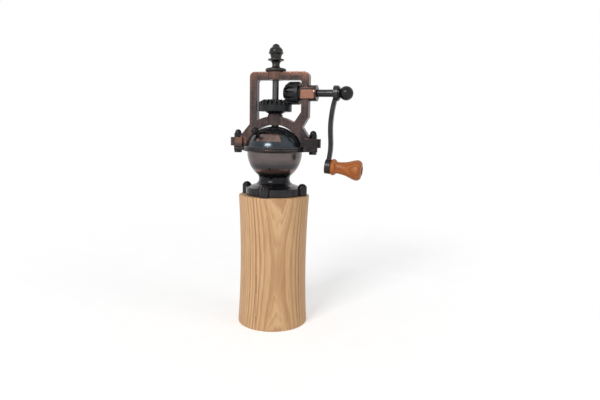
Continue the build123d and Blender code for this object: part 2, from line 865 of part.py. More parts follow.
cone_length = sqrt(gear_pitch_radius**2 + pinion_pitch_radius**2)
toe_scale = 1 - face_width / cone_length
addendum = addendum_share * gear_module
dedendum = dedendum_share * gear_module

# The bevel gear, its teeth facing up. A space stands over +X, where the pinion meshes.
gear_heel = cone_point(pinion_pitch_radius, gear_pitch_radius, addendum, 1)
gear_toe = cone_point(pinion_pitch_radius, gear_pitch_radius, addendum, toe_scale)
gear_toe_root = cone_point(pinion_pitch_radius, gear_pitch_radius, -dedendum, toe_scale)
gear_spaces = []
for i in range(gear_teeth):
    turn = 2 * pi * i / gear_teeth
    gear_spaces.append(
        bevel_space(
            Vector(0, 0, -1),
            Vector(cos(turn), sin(turn), 0),
            gear_teeth,
            pinion_pitch_radius,
            gear_pitch_radius,
        )
    )
spindle_flat = spindle_top_radius - spindle_flat_depth
gear_top = crank_z - gear_toe_root[0] + gear_top_hub_rise
with BuildPart() as bevel_gear:
    with BuildSketch(Plane.XZ):
        with BuildLine():
            Polyline(
                (0, gear_bottom),
                (washer_radius, gear_bottom),
                (gear_underside_radius, gear_rim_bottom),
                (gear_rim_radius - 0.4, gear_rim_bottom),
                (gear_rim_radius, gear_rim_bottom + 0.4),
                (gear_rim_radius, crank_z - gear_heel[0] - 0.5),
                (gear_heel[1], crank_z - gear_heel[0]),
                (gear_toe[1], crank_z - gear_toe[0]),
                (gear_toe_root[1] - 0.4, crank_z - gear_toe_root[0] - 0.5),
                (gear_top_hub_radius, crank_z - gear_toe_root[0] - 0.5),
                (gear_top_hub_radius, gear_top),
                (0, gear_top),
                close=True,
            )
        make_face()
    revolve(axis=mill_axis)
    add(gear_spaces, mode=Mode.SUBTRACT)
    with BuildSketch(Plane.XY.offset(gear_bottom)):
        Circle(spindle_top_radius + running_gap)
        with Locations((0, spindle_flat + running_gap - 2 * spindle_radius)):
            Rectangle(4 * spindle_radius, 4 * spindle_radius, mode=Mode.INTERSECT)
    extrude(amount=gear_top - gear_bottom, mode=Mode.SUBTRACT)

bevel_gear.part.label = "bevel_gear"
export_step(bevel_gear.part, "parts/bevel_gear.step")


# The pinion, its teeth facing the spindle. A tooth stands under the shaft, in the gear's space.
pinion_heel = cone_point(gear_pitch_radius, pinion_pitch_radius, addendum, 1)
pinion_toe = cone_point(gear_pitch_radius, pinion_pitch_radius, addendum, toe_scale)
pinion_toe_root = cone_point(gear_pitch_radius, pinion_pitch_radius, -dedendum, toe_scale)
pinion_spaces = []
for i in range(pinion_teeth):
    turn = 2 * pi * (i + 0.5) / pinion_teeth
    pinion_spaces.append(
        bevel_space(
            Vector(1, 0, 0),
            Vector(0, sin(turn), -cos(turn)),
            pinion_teeth,
            gear_pitch_radius,
            pinion_pitch_radius,
        )
    )
pinion_front = pinion_toe_root[0] - pinion_nose_length
set_screw_x = pinion_back - set_screw_setback
with BuildPart() as bevel_pinion:
    with BuildSketch(crank_plane):
        with BuildLine():
            Polyline(
                (pinion_front, journal_radius + seat_gap),
                (pinion_front, pinion_nose_radius),
                (pinion_toe_root[0] + 0.2, pinion_nose_radius),
                (pinion_toe[0], pinion_toe[1]),
                (pinion_heel[0], pinion_heel[1]),
                (pinion_heel[0] + 0.3, pinion_rim_radius),
                (pinion_back - 0.3, pinion_rim_radius),
                (pinion_back, pinion_rim_radius - 0.3),
                (pinion_back, journal_radius + seat_gap),
                close=True,
            )
        make_face()
    revolve(axis=crank_axis)
    add(pinion_spaces, mode=Mode.SUBTRACT)
    with BuildSketch(Plane.XZ):
        with Locations((set_screw_x, crank_z)):
            Circle(set_screw_radius + seat_gap)
    extrude(amount=-pinion_rim_radius, mode=Mode.SUBTRACT)

bevel_pinion.part.label = "bevel_pinion"
export_step(bevel_pinion.part, "parts/bevel_pinion.step")


# Set screw that holds the pinion on the shaft, sunk in the pinion's back edge.
set_screw_top = pinion_rim_radius - set_screw_sink
with BuildPart() as pinion_set_screw:
    with BuildSketch(Plane.XZ.offset(-(journal_radius + seat_gap))):
        with Locations((set_screw_x, crank_z)):
            Circle(set_screw_radius)
    extrude(amount=-(set_screw_top - journal_radius - seat_gap))
    with BuildSketch(Plane.XZ.offset(-set_screw_top)):
        with Locations((set_screw_x, crank_z)):
            RegularPolygon(0.6 * set_screw_radius, 6)
    extrude(amount=1.5, mode=Mode.SUBTRACT)

pinion_set_screw.part.label = "pinion_set_screw"
export_step(pinion_set_screw.part, "parts/pinion_set_screw.step")


# The spindle: thin below the gear's washer, thicker with a flat through the gear, threaded in the finial.
spindle_shoulder = washer_top - 0.4
spindle_thread_start = finial_bottom - spindle_lift - face_gap
spindle_top = finial_bottom + spindle_thread_length
with BuildPart() as spindle:
    with BuildSketch(Plane.XZ):
        with BuildLine():
            Polyline(
                (0, spindle_foot),
                (spindle_radius - 0.3, spindle_foot),
                (spindle_radius, spindle_foot + 0.3),
                (spindle_radius, spindle_shoulder),
                (spindle_top_radius, spindle_shoulder),
                (spindle_top_radius, spindle_thread_start),
                (spindle_radius, spindle_thread_start),
                (spindle_radius, spindle_top - 0.4),
                (spindle_radius - 0.4, spindle_top),
                (0, spindle_top),
                close=True,
            )
        make_face()
    revolve(axis=mill_axis)
    with BuildSketch(Plane.XY.offset(spindle_shoulder)):
        with Locations((0, spindle_flat + spindle_radius)):
            Rectangle(4 * spindle_radius, 2 * spindle_radius)
    extrude(amount=gear_top + spindle_lift + face_gap - spindle_shoulder, mode=Mode.SUBTRACT)

spindle.part.label = "spindle"
export_step(spindle.part, "parts/spindle.step")


# The finial: a turned adjusting nut on the spindle's thread.
disc_top = finial_bottom + finial_disc_thickness
plate_z = disc_top + 6.75
vase_top = plate_z + 5.7
button_z = vase_top + 5.9
finial_top = button_z + 2.65
thread_depth = spindle_thread_length + spindle_lift + 0.8
with BuildPart() as finial:
    with BuildSketch(Plane.XZ):
        with BuildLine():
            disc = Polyline(
                (0, finial_bottom),
                (finial_disc_radius - 0.5, finial_bottom),
                (finial_disc_radius, finial_bottom + 0.5),
                (finial_disc_radius, disc_top - 0.7),
                (finial_disc_radius - 1.2, disc_top),
                (finial_neck_radius + 1.2, disc_top + 0.3),
            )
            neck = Spline(
                disc @ 1,
                (finial_neck_radius, disc_top + 3.0),
                (finial_neck_radius + 1.5, plate_z - 0.6),
                tangents=[(-1, 1), (1, 1)],
            )
            plate = Polyline(
                neck @ 1,
                (finial_plate_radius - 0.3, plate_z - 0.1),
                (finial_plate_radius, plate_z + 0.2),
                (finial_plate_radius, plate_z + 0.8),
                (finial_plate_radius - 0.3, plate_z + 1.1),
                (finial_neck_radius + 1.1, plate_z + 1.2),
            )
            vase = Spline(
                plate @ 1,
                (finial_neck_radius + 1.4, plate_z + 3.2),
                (finial_ring_radius - 0.6, vase_top),
                tangents=[(0.1, 1), (1, 1)],
            )
            ring = ThreePointArc(
                vase @ 1,
                (finial_ring_radius, vase_top + 0.75),
                (finial_ring_radius - 0.6, vase_top + 1.5),
            )
            cap_foot = Line(ring @ 1, (finial_cap_radius, vase_top + 1.8))
            cap = ThreePointArc(
                cap_foot @ 1,
                (finial_cap_radius - 0.7, vase_top + 4.2),
                (finial_button_radius - 0.2, button_z - 0.1),
            )
            Line(cap @ 1, (finial_button_radius, button_z))
            crown(0, finial_button_radius, button_z, finial_top)
            Line((0, finial_top), disc @ 0)
        make_face()
    revolve(axis=mill_axis)
    with BuildSketch(Plane.XY.offset(finial_bottom)):
        Circle(spindle_radius + running_gap)
    extrude(amount=thread_depth, mode=Mode.SUBTRACT)

finial.part.label = "finial"
export_step(finial.part, "parts/finial.step")


# The crank shaft: a journal in the bush, a shoulder outside it, a flatted tenon for the arm and a thread.
tenon_flat = journal_radius - tenon_flat_depth
thread_start = arm_outer
shaft_end = thread_start + shaft_thread_length
with BuildPart() as crank_shaft:
    with BuildSketch(crank_plane):
        with BuildLine():
            Polyline(
                (pinion_front + 0.4, 0),
                (pinion_front + 0.4, journal_radius),
                (shaft_shoulder, journal_radius),
                (shaft_shoulder, shaft_radius - 0.2),
                (shaft_shoulder + 0.2, shaft_radius),
                (arm_inner, shaft_radius),
                (arm_inner, journal_radius),
                (thread_start, journal_radius),
                (thread_start, shaft_thread_radius),
                (shaft_end, shaft_thread_radius),
                (shaft_end, 0),
                close=True,
            )
        make_face()
    revolve(axis=crank_axis)
    with BuildSketch(Plane.YZ.offset(arm_inner)):
        with Locations((tenon_flat + journal_radius, crank_z)):
            Rectangle(2 * journal_radius, 4 * journal_radius)
    extrude(amount=arm_hub_thickness, mode=Mode.SUBTRACT)

crank_shaft.part.label = "crank_shaft"
export_step(crank_shaft.part, "parts/crank_shaft.step")


# The crank arm: round hub, S-shaped arm and a round boss, canted with the knob.
boss_x = arm_inner - arm_boss_inset + arm_hub_thickness / 2
boss_z = crank_z - arm_reach
cant = radians(knob_cant)
knob_axis_direction = Vector(cos(cant), 0, -sin(cant))
boss_centre = Vector(boss_x, 0, boss_z)
boss_plane = Plane(origin=boss_centre, x_dir=(0, 1, 0), z_dir=knob_axis_direction)
hub_x = arm_inner + arm_hub_thickness / 2
arm_points = [(hub_x - step, crank_z - share * arm_reach) for share, step in arm_sweep]
arm_points += [(boss_x + 0.8, boss_z + arm_boss_radius + 0.9), (boss_x + 0.1, boss_z + 1.5)]
with BuildPart() as crank_arm:
    with BuildSketch(Plane.XZ):
        with BuildLine():
            inner = Spline([(x - arm_thickness / 2, z) for x, z in arm_points])
            outer = Spline([(x + arm_thickness / 2, z) for x, z in arm_points])
            Line(inner @ 0, outer @ 0)
            Line(inner @ 1, outer @ 1)
        make_face()
    extrude(amount=arm_half_width, both=True)
    long_edges = crank_arm.edges().filter_by(GeomType.BSPLINE)
    fillet(long_edges, arm_edge_round)
    with BuildSketch(Plane.YZ.offset(arm_inner)):
        with Locations((0, crank_z)):
            Circle(arm_hub_radius)
    extrude(amount=arm_hub_thickness)
    with BuildSketch(boss_plane):
        Circle(arm_boss_radius)
    extrude(amount=arm_boss_thickness / 2, both=True)
    with BuildSketch(Plane.YZ.offset(arm_inner)):
        with Locations((0, crank_z)):
            Circle(journal_radius + seat_gap)
        with Locations((tenon_flat + seat_gap - 2 * journal_radius, crank_z)):
            Rectangle(4 * journal_radius, 4 * journal_radius, mode=Mode.INTERSECT)
    extrude(amount=arm_hub_thickness, mode=Mode.SUBTRACT)
    with BuildSketch(boss_plane):
        Circle(knob_pin_radius + seat_gap)
    extrude(amount=arm_boss_thickness, both=True, mode=Mode.SUBTRACT)

crank_arm.part.label = "crank_arm"
export_step(crank_arm.part, "parts/crank_arm.step")


# Ball-ended nut that holds the arm on the shaft.
ball_x = arm_outer + nut_ball_reach
neck_join = sqrt(nut_ball_radius**2 - nut_neck_radius**2)
with BuildPart() as crank_nut:
    with BuildSketch(crank_plane):
        with BuildLine():
            foot = Polyline(
                (arm_outer, 0),
                (arm_outer, nut_flange_radius),
                (arm_outer + nut_flange_thickness, nut_flange_radius),
                (arm_outer + nut_flange_thickness + nut_flange_bevel, nut_neck_radius),
                (ball_x - neck_join, nut_neck_radius),
            )
            ball = ThreePointArc(foot @ 1, (ball_x, nut_ball_radius), (ball_x + nut_ball_radius, 0))
            Line(ball @ 1, foot @ 0)
        make_face()
    revolve(axis=crank_axis)
    with BuildSketch(Plane.YZ.offset(arm_outer)):
        with Locations((0, crank_z)):
            Circle(shaft_thread_radius + seat_gap)
    extrude(amount=shaft_thread_length + seat_gap, mode=Mode.SUBTRACT)

crank_nut.part.label = "crank_nut"
export_step(crank_nut.part, "parts/crank_nut.step")


# Screw on which the knob turns: riveted in the boss, its head sunk in the knob's end.
knob_section_plane = Plane(origin=boss_centre, x_dir=knob_axis_direction, z_dir=(0, -1, 0))
knob_start = arm_boss_thickness / 2 + knob_gap
knob_end = knob_start + knob_length
pin_head_start = knob_end - knob_pin_head_height - 0.9
with BuildPart() as knob_pin:
    with BuildSketch(knob_section_plane):
        with BuildLine():
            Polyline(
                (-arm_boss_thickness / 2 - 0.7, 0),
                (-arm_boss_thickness / 2 - 0.7, knob_pin_radius - 0.4),
                (-arm_boss_thickness / 2 - 0.3, knob_pin_radius),
                (pin_head_start, knob_pin_radius),
                (pin_head_start, knob_pin_head_radius),
                (pin_head_start + knob_pin_head_height - 0.4, knob_pin_head_radius),
                (pin_head_start + knob_pin_head_height, knob_pin_head_radius - 0.4),
                (pin_head_start + knob_pin_head_height, 0),
                close=True,
            )
        make_face()
    revolve(axis=Axis(boss_centre, knob_axis_direction))
    with BuildSketch(boss_plane.offset(pin_head_start + knob_pin_head_height)):
        Rectangle(3 * knob_pin_head_radius, slot_width)
    extrude(amount=-0.9, mode=Mode.SUBTRACT)

knob_pin.part.label = "knob_pin"
export_step(knob_pin.part, "parts/knob_pin.step")


# The turned wooden knob: a bead, a waist, a bulb and a sunk end.
counterbore_radius = knob_pin_head_radius + 0.3
counterbore_floor = pin_head_start - face_gap
with BuildPart() as crank_knob:
    with BuildSketch(knob_section_plane):
        with BuildLine():
            bead_foot = Line(
                (knob_start, knob_pin_radius + running_gap),
                (knob_start, knob_bead_radius - 1.6),
            )
            bead = ThreePointArc(
                bead_foot @ 1,
                (knob_start + knob_bead_width / 2, knob_bead_radius),
                (knob_start + knob_bead_width, knob_bead_radius - 1.5),
            )
            grip = Spline(
                bead @ 1,
                (knob_start + knob_waist_reach, knob_waist_radius),
                (knob_start + knob_swell_reach, knob_waist_radius + knob_swell),
                (knob_end - knob_bulb_setback, knob_bulb_radius),
                (knob_end - knob_end_slope, knob_end_radius),
                tangents=[(0.8, -1), (0.8, -1)],
            )
            Polyline(
                grip @ 1,
                (knob_end, counterbore_radius),
                (counterbore_floor, counterbore_radius),
                (counterbore_floor, knob_pin_radius + running_gap),
                bead_foot @ 0,
            )
        make_face()
    revolve(axis=Axis(boss_centre, knob_axis_direction))

crank_knob.part.label = "crank_knob"
export_step(crank_knob.part, "parts/crank_knob.step")


# Housing in the base: flange on the recess's shelf, barrel round the burrs, and the spindle's bridge.
housing_radius = outer_burr_radius + seat_gap
barrel_radius = housing_radius + housing_wall
flange_bottom = recess_depth - housing_flange_thickness
burr_ceiling = recess_depth - 3.0
bridge_outer = seed_bore_radius - 2 * seat_gap - 0.1
bridge_inner = bridge_outer - bridge_ring_width
with BuildPart() as grinder_housing:
    with BuildSketch(Plane.XZ):
        with BuildLine():
            Polyline(
                (bridge_inner, burr_ceiling),
                (housing_radius, burr_ceiling),
                (housing_radius, recess_depth - housing_drop),
                (barrel_radius, recess_depth - housing_drop),
                (barrel_radius, flange_bottom),
                (recess_radius - 10 * seat_gap, flange_bottom),
                (recess_radius - 10 * seat_gap, recess_depth),
                (bridge_outer, recess_depth),
                (bridge_outer, recess_depth + bridge_thickness),
                (bridge_inner, recess_depth + bridge_thickness),
                close=True,
            )
        make_face()
    revolve(axis=mill_axis)
    for azimuth in (90, 210, 330):
        with BuildSketch(Plane.XY.offset(recess_depth)):
            with Locations(Location((0, 0, 0), (0, 0, azimuth))):
                with Locations(((bridge_inner + 0.5) / 2, 0)):
                    Rectangle(bridge_inner + 0.5, bridge_arm_width)
        extrude(amount=bridge_thickness)
    with BuildSketch(Plane.XY.offset(recess_depth)):
        Circle(bridge_hub_radius)
    extrude(amount=bridge_hub_height)
    with BuildSketch(Plane.XY.offset(recess_depth)):
        Circle(spindle_radius + running_gap)
    extrude(amount=bridge_hub_height, mode=Mode.SUBTRACT)
    with BuildSketch(Plane.XY.offset(flange_bottom)):
        with PolarLocations(housing_screw_reach, 3, start_angle=30):
            Circle(housing_screw_radius + seat_gap)
    extrude(amount=housing_flange_thickness, mode=Mode.SUBTRACT)

grinder_housing.part.label = "grinder_housing"
export_step(grinder_housing.part, "parts/grinder_housing.step")


# Three cylinder-head screws up through the housing's flange.
with BuildPart() as housing_screws:
    with BuildSketch(Plane.XY.offset(flange_bottom - housing_head_height)):
        with PolarLocations(housing_screw_reach, 3, start_angle=30):
            Circle(housing_head_radius)
    extrude(amount=housing_head_height)
    with BuildSketch(Plane.XY.offset(flange_bottom)):
        with PolarLocations(housing_screw_reach, 3, start_angle=30):
            Circle(housing_screw_radius)
    extrude(amount=housing_flange_thickness + housing_screw_length - 1)
    with BuildSketch(Plane.XY.offset(flange_bottom - housing_head_height)):
        with PolarLocations(housing_screw_reach, 3, start_angle=30):
            Rectangle(3 * housing_head_radius, slot_width)
    extrude(amount=slot_depth / 1.5, mode=Mode.SUBTRACT)

housing_screws.part.label = "housing_screws"
export_step(housing_screws.part, "parts/housing_screws.step")


def cone_groove(azimuth, reach, z, length, skew):
    """Diamond bar along a burr's cone, which cuts a V-shaped groove leaning round it by the skew."""
    out = Vector(cos(azimuth), sin(azimuth), 0)
    round_about = Vector(-sin(azimuth), cos(azimuth), 0)
    up_cone = (Vector(0, 0, 1) - out * burr_slope).normalized()
    along = up_cone * cos(radians(skew)) + round_about * sin(radians(skew))
    with BuildPart() as groove:
        with BuildSketch(Plane(origin=out * reach + Vector(0, 0, z), x_dir=along.cross(out), z_dir=along)):
            RegularPolygon(flute_depth, 4)
        extrude(amount=length, both=True)
    return groove.part


# The fixed outer burr: a ring with a tapering, fluted mouth.
burr_foot_z = spindle_foot + 0.4 + burr_nut_height
outer_foot_z = burr_ceiling - outer_burr_height
mouth_foot = burr_foot_radius + burr_gap + burr_slope * (burr_foot_z - outer_foot_z)
throat_z = burr_foot_z + burr_height + 0.4
mouth_throat = burr_foot_radius + burr_gap - burr_slope * (throat_z - burr_foot_z)
outer_grooves = [
    cone_groove(2 * pi * i / outer_flutes, mouth_foot, outer_foot_z, 2 * outer_burr_height, 0)
    for i in range(outer_flutes)
]
with BuildPart() as outer_burr:
    with BuildSketch(Plane.XZ):
        with BuildLine():
            Polyline(
                (mouth_foot, outer_foot_z),
                (outer_burr_radius, outer_foot_z),
                (outer_burr_radius, burr_ceiling),
                (bridge_inner - 1.0, burr_ceiling),
                (mouth_throat, throat_z),
                close=True,
            )
        make_face()
    revolve(axis=mill_axis)
    add(outer_grooves, mode=Mode.SUBTRACT)

outer_burr.part.label = "outer_burr"
export_step(outer_burr.part, "parts/outer_burr.step")


# The turning inner burr: a fluted cone on the spindle, at its lowest and coarsest.
burr_top_z = burr_foot_z + burr_height
inner_grooves = [
    cone_groove(2 * pi * i / burr_flutes, burr_foot_radius, burr_foot_z, 2 * burr_height, 15)
    for i in range(burr_flutes)
]
with BuildPart() as inner_burr:
    with BuildSketch(Plane.XZ):
        with BuildLine():
            Polyline(
                (spindle_radius + seat_gap, burr_foot_z),
                (burr_foot_radius, burr_foot_z),
                (burr_foot_radius - burr_slope * burr_height, burr_top_z),
                (spindle_radius + seat_gap, burr_top_z),
                close=True,
            )
        make_face()
    revolve(axis=mill_axis)
    add(inner_grooves, mode=Mode.SUBTRACT)

inner_burr.part.label = "inner_burr"
export_step(inner_burr.part, "parts/inner_burr.step")


# Nut under the inner burr.
with BuildPart() as burr_nut:
    with BuildSketch(Plane.XY.offset(burr_foot_z - burr_nut_height)):
        RegularPolygon(burr_nut_width / 2, 6, major_radius=False)
        Circle(spindle_radius + seat_gap, mode=Mode.SUBTRACT)
    extrude(amount=burr_nut_height)

burr_nut.part.label = "burr_nut"
export_step(burr_nut.part, "parts/burr_nut.step")


# Spring between the housing's bridge and the inner burr.
spring_room = recess_depth - burr_top_z - 2 * (spring_wire_radius + seat_gap)
with BuildPart() as burr_spring:
    with BuildLine() as coil:
        Helix(
            pitch=spring_room / spring_turns,
            height=spring_room,
            radius=spring_radius,
            center=(0, 0, burr_top_z + spring_wire_radius + seat_gap),
        )
    with BuildSketch(Plane(coil.line @ 0, z_dir=coil.line % 0)):
        Circle(spring_wire_radius)
    sweep(path=coil.line, is_frenet=True)

burr_spring.part.label = "burr_spring"
export_step(burr_spring.part, "parts/burr_spring.step")
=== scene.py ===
from math import cos, radians, sin

import bpy
from mathutils import Matrix, Vector

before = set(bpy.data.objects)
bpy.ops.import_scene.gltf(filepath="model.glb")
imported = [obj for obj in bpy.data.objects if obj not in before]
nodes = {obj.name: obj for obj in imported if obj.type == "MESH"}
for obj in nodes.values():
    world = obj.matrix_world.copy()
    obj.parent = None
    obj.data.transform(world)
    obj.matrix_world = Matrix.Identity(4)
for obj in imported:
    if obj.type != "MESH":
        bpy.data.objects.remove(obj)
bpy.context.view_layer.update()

# Everything is in metres, in the frame that the solids are packed in: +Z is up, +X runs out
# along the crank's shaft and the filling window faces -Y.

VIEW_AZIMUTH = 18.7  # degrees the photograph's camera stands to the right of the window's side

scene = bpy.context.scene


# ---------------------------------------------------------------- node helpers

class Net:
    """The node tree of a material or a world, with short calls for the nodes used here."""

    def __init__(self, owner):
        owner.use_nodes = True
        self.owner = owner
        self.tree = owner.node_tree
        self.tree.nodes.clear()
        self.object_place = None

    @property
    def place(self):
        """The point on the object that is shaded."""
        if self.object_place is None:
            self.object_place = self.add("ShaderNodeTexCoord").outputs["Object"]
        return self.object_place

    def add(self, kind, inputs=(), **settings):
        node = self.tree.nodes.new(kind)
        for key, value in settings.items():
            setattr(node, key, value)
        for key, value in dict(inputs).items():
            self.feed(node.inputs[key], value)
        return node

    def feed(self, socket, value):
        if isinstance(value, bpy.types.NodeSocket):
            self.tree.links.new(value, socket)
        elif isinstance(value, tuple) and len(value) == 3 and socket.type == "RGBA":
            socket.default_value = (*value, 1.0)
        else:
            socket.default_value = value

    def math(self, operation, a, b=0.0, clamp=False):
        node = self.add("ShaderNodeMath", {0: a, 1: b}, operation=operation, use_clamp=clamp)
        return node.outputs[0]

    def plus(self, *terms):
        result = terms[0]
        for term in terms[1:]:
            result = self.math("ADD", result, term)
        return result

    def times(self, *factors):
        result = factors[0]
        for factor in factors[1:]:
            result = self.math("MULTIPLY", result, factor)
        return result

    def most(self, *values):
        result = values[0]
        for value in values[1:]:
            result = self.math("MAXIMUM", result, value)
        return result

    def ramp(self, value, low, high, start=0.0, end=1.0):
        """Value taken smoothly from start at low to end at high."""
        return self.add(
            "ShaderNodeMapRange",
            {"Value": value, "From Min": low, "From Max": high, "To Min": start, "To Max": end},
            interpolation_type="SMOOTHSTEP",
        ).outputs[0]

    def between(self, value, low, high, soft):
        """1 where value lies between low and high, with soft edges."""
        rise = self.ramp(value, low - soft, low + soft)
        fall = self.ramp(value, high - soft, high + soft, 1, 0)
        return self.times(rise, fall)

    def mix(self, factor, a, b):
        node = self.add("ShaderNodeMix", data_type="RGBA")
        self.feed(node.inputs[0], factor)
        self.feed(node.inputs[6], a)
        self.feed(node.inputs[7], b)
        return node.outputs[2]

    def noise(self, scale, detail=3.0, rough=0.55, place=None, stretch=None):
        """Noise with this many features a metre, more or fewer along each axis by stretch."""
        vector = place or self.place
        if stretch:
            vector = self.add("ShaderNodeMapping", {"Vector": vector, "Scale": stretch}).outputs[0]
        return self.add(
            "ShaderNodeTexNoise",
            {"Vector": vector, "Scale": scale, "Detail": detail, "Roughness": rough},
        ).outputs["Fac"]

    def split(self, vector):
        return self.add("ShaderNodeSeparateXYZ", {0: vector}).outputs

    def rounded(self, radius):
        """The surface's direction, with its edges rounded by this radius."""
        return self.add("ShaderNodeBevel", {"Radius": radius}, samples=6).outputs[0]

    def edges(self, radius, gain=9.0):
        """1 on edges and 0 on open faces: how far the rounded direction leans from the true one."""
        true = self.add("ShaderNodeNewGeometry").outputs["Normal"]
        near = self.add(
            "ShaderNodeVectorMath", {0: self.rounded(radius), 1: true}, operation="DOT_PRODUCT"
        ).outputs["Value"]
        return self.math("MULTIPLY", self.math("SUBTRACT", 1.0, near), gain, clamp=True)

    def bump(self, height, strength, distance, radius):
        return self.add(
            "ShaderNodeBump",
            {"Height": height, "Strength": strength, "Distance": distance,
             "Normal": self.rounded(radius)},
        ).outputs[0]

    def seen(self):
        """1 for rays from the camera, also by way of a reflection or through glass."""
        ray = self.add("ShaderNodeLightPath").outputs
        return self.most(ray["Is Camera Ray"], ray["Is Glossy Ray"], ray["Is Transmission Ray"])

    def close(self, shader, kind="ShaderNodeOutputMaterial"):
        self.add(kind, {"Surface": shader})
        return self.owner

    def surface(self, **inputs):
        values = {key.replace("_", " "): value for key, value in inputs.items()}
        return self.close(self.add("ShaderNodeBsdfPrincipled", values).outputs[0])


def new_net(name):
    return Net(bpy.data.materials.new(name))


def scaled(colour, factor):
    return tuple(c * factor for c in colour)


# ---------------------------------------------------------------- metals

def antique(name, dark, rubbed, copper, rough, wear, edge, grain, metallic=0.75, zones=None):
    """Cast metal with a dark finish, rubbed lighter in patches and down to copper on its edges."""
    net = new_net(name)
    broad = net.noise(70)
    middle = net.noise(330)
    fine = net.noise(1800, 2)
    scuffs = net.noise(700, 3, 0.6, stretch=(0.25, 0.25, 1.6))
    cloud = net.plus(net.times(broad, 0.6), net.times(middle, 0.4))
    colour = net.mix(net.ramp(cloud, 0.36, 0.66, 0.0, wear), dark, rubbed)
    strong = net.times(net.edges(0.0006), net.ramp(middle, 0.36, 0.6), edge)
    if zones:
        colour, strong = zones(net, colour, strong, broad, middle)
    colour = net.mix(strong, colour, copper)
    specks = net.ramp(fine, 0.5, 0.8, 0.0, 0.30)
    colour = net.mix(specks, colour, scaled(dark, 0.45))
    scuffed = net.ramp(scuffs, 0.25, 0.8, rough - 0.07, rough + 0.10)
    height = net.plus(net.times(fine, 0.5), net.times(middle, 0.7))
    return net.surface(
        Base_Color=colour, Metallic=metallic, Roughness=net.plus(scuffed, net.times(strong, -0.05)),
        Normal=net.bump(height, 0.16 * grain, 0.0002, 0.0004),
    )


FRAME_FRONT = (-0.0032, -0.0024)  # y over which the frame's front face begins
FRAME_FOOT, FRAME_TOP = 0.172, 0.222  # z of the upright bars' lower and upper ends
FLAT_FRONT = (-0.0049, -0.0046)  # y over which the crank boss's front flat begins
FLAT_FOOT, FLAT_TOP = 0.2034, 0.2107
FLAT_LEFT, FLAT_RIGHT = 0.0242, 0.0364
PAINTED_SHADE_SLATE, BLACK_BROWN = (0.052, 0.050, 0.058), (0.022, 0.018, 0.019)
DARK_BROWN, PAINTED_SHADE_BLACK = (0.030, 0.024, 0.026), (0.019, 0.017, 0.019)
PURPLE_BROWN, REDDISH = (0.030, 0.026, 0.030), (0.135, 0.080, 0.068)
BROWN, DEEP_ORANGE = (0.170, 0.092, 0.064), (0.150, 0.070, 0.044)


def frame_wear_and_painted_light(net, colour, rim, broad, middle):
    """Copper shows on the frame's top, where it is partly a painted highlight, and on its right
    shoulder, left ear and the crank boss's front flat.

    The bars are browner outside and slate inside, the slate being painted shade; the right ear is
    painted shade in black, and the boss's end is black.
    """
    x, y, z = net.split(net.place)
    front = net.ramp(y, *FRAME_FRONT, 1.0, 0.0)
    patchy = net.ramp(broad, 0.34, 0.58, 0.45, 1.0)
    copper = {
        # the top's copper is partly rubbed copper and partly a painted highlight along the rounded
        # top edge
        "top": (net.ramp(z, 0.2214, 0.2254), net.ramp(x, 0.004, 0.016, 0.30, 0.50), patchy),
        "right_shoulder": (net.ramp(x, 0.020, 0.029), net.ramp(z, 0.2150, 0.2235), 0.56, patchy),
        "left_shoulder": (net.ramp(x, -0.0150, -0.0215), net.ramp(z, 0.2100, 0.2235), 0.10, patchy),
        "flat": (
            net.between(z, FLAT_FOOT, FLAT_TOP, 0.0003),
            net.between(x, FLAT_LEFT, FLAT_RIGHT, 0.0003),
            net.ramp(y, *FLAT_FRONT, 1.0, 0.0), net.ramp(middle, 0.25, 0.5, 0.62, 0.84),
        ),
        "left_ear": (
            net.between(x, -0.0355, -0.0262, 0.0012), net.between(z, 0.1635, 0.1692, 0.0009),
            front, 0.36,
        ),
        "top_boss": (net.between(x, -0.0062, 0.0050, 0.0012), net.ramp(z, 0.2195, 0.2215), 0.22),
    }
    total = net.most(rim, *(net.times(*factors) for factors in copper.values()))
    streaks = net.noise(520, 3, 0.6, stretch=(1, 1, 0.06))
    tints_and_painted_shade = (
        # under the top bar's copper, right of the boss
        (PURPLE_BROWN, net.between(x, 0.0048, 0.0225, 0.002),
         net.between(z, 0.2188, 0.2222, 0.0008), 0.45),
        # painted shade: the right ear, darkened to black where it faces away from the key lamp
        (PAINTED_SHADE_BLACK, net.ramp(x, 0.0235, 0.0265), net.ramp(z, 0.1700, 0.1730, 1.0, 0.0), 0.8),
        # the left bar's inner side, darkened slate as painted shade, and its browner outer side
        (PAINTED_SHADE_SLATE, net.between(x, -0.0195, -0.0160, 0.0012),
         net.between(z, 0.178, 0.219, 0.002), 0.55),
        (BROWN, net.between(x, -0.0245, -0.0208, 0.0008),
         net.between(z, FRAME_FOOT, FRAME_TOP, 0.003), patchy, 0.60),
        # the crank boss's round end, and what is above its flat
        (BLACK_BROWN, net.ramp(x, 0.0362, 0.0366), net.between(z, 0.2010, 0.2150, 0.0005), 0.85),
        (DARK_BROWN, net.between(x, 0.0236, 0.0364, 0.0004),
         net.between(z, 0.2110, 0.2150, 0.0003), front, 0.8),
        # the left shoulder
        (DEEP_ORANGE, net.ramp(x, -0.0150, -0.0205), net.ramp(z, 0.2150, 0.2225), 0.75),
        # reddish streaks down the bars
        (REDDISH, net.between(z, FRAME_FOOT, FRAME_TOP, 0.004),
         net.ramp(streaks, 0.42, 0.68, 0.0, 0.55)),
    )
    for tone, *factors in tints_and_painted_shade:
        colour = net.mix(net.times(*factors), colour, tone)
    return colour, total


RIM_FOOT, LIP_FOOT, LIP_TOP = 0.1560, 0.1588, 0.1597  # z of the bowl's rim and of its lip
REFLECTION_BAND_FOOT, REFLECTION_BAND_TOP = 0.1386, 0.1418  # z of the reddish band low on the bowl, a painted reflection
NECK_FOOT, NECK_TOP = 0.1285, 0.1372


